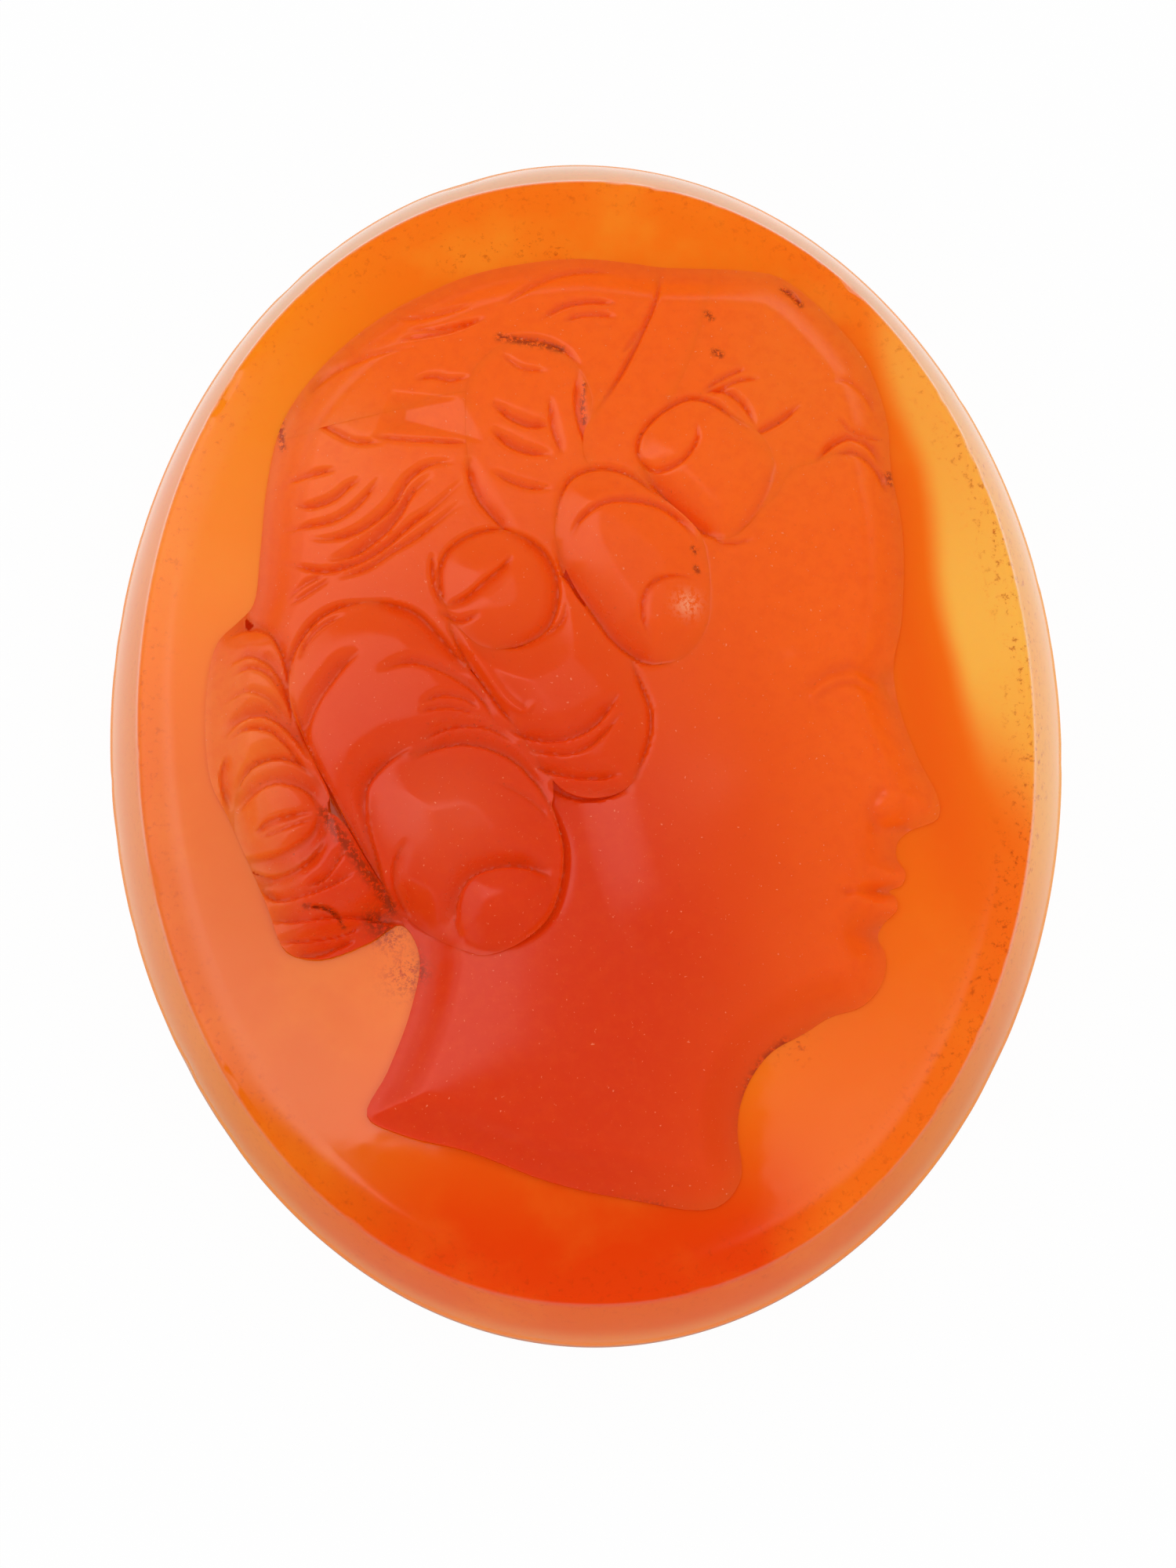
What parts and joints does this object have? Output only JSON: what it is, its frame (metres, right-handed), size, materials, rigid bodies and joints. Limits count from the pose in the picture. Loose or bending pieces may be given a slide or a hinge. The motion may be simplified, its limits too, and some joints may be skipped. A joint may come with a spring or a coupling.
{
  "type": "oval carved stone cameo",
  "caption": "Oval bevelled stone cameo, flat on the back, with a classical head in right profile and curled, banded hair in low relief.",
  "frame": {"origin": "middle of the flat back, which the cameo lies on", "axes": "+Y to the top of the head along the oval's long axis, +X to the side that the profile looks to, +Z out of the carved face"},
  "size_m": [0.0158, 0.02, 0.0048],
  "materials": {
    "field_stone": "polished translucent orange carnelian",
    "face_stone": "softly polished orange-red carnelian",
    "hair_stone": "wheel-cut, softly polished orange-red carnelian"
  },
  "bodies": {
    "root": {"ground_stone": "field_stone", "face_and_neck": "face_stone", "crown_hair": "hair_stone", "back_hair": "hair_stone", "forehead_hair": "hair_stone", "hair_band": "hair_stone", "temple_wave": "hair_stone", "front_curl": "hair_stone", "temple_curl": "hair_stone", "ear_ringlet": "hair_stone", "ear_lock": "hair_stone", "nape_lock": "hair_stone", "shoulder_volute": "hair_stone", "knot_crown": "hair_stone", "knot_ringlet": "hair_stone", "knot_tail": "hair_stone"}
  },
  "joints": []
}
